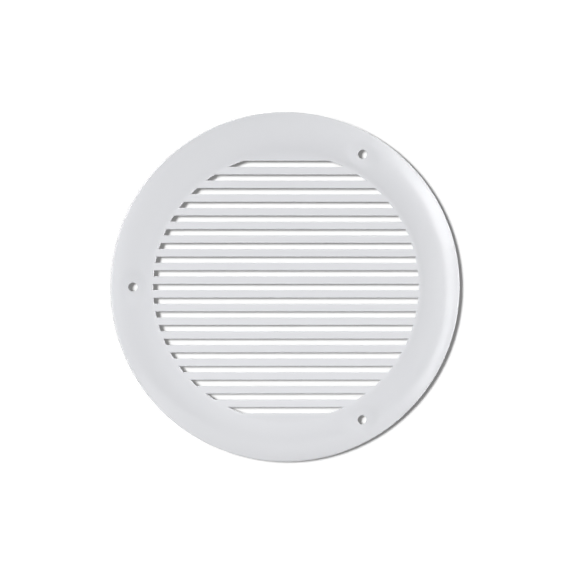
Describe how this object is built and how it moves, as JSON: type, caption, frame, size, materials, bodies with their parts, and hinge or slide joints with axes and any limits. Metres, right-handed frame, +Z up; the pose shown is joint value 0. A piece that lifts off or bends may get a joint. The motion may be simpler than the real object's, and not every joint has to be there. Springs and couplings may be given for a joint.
{
  "type": "round vent cover",
  "caption": "Round white plastic vent cover: a domed, hollow-backed flange with dished screw seats round a flat grille of straight level slats.",
  "frame": {"origin": "centre of the back plane, which lies on the wall, on the axis of the round flange", "axes": "upright as on a wall: +Z up across the slats, +X to the right along the slats seen from the front, the front faces -Y and the wall lies on the +Y side"},
  "size_m": [0.175, 0.0096, 0.175],
  "materials": {
    "white_plastic": "glossy white moulded ABS, slightly cool in tone"
  },
  "bodies": {
    "root": {"vent_cover": "white_plastic"}
  },
  "joints": []
}
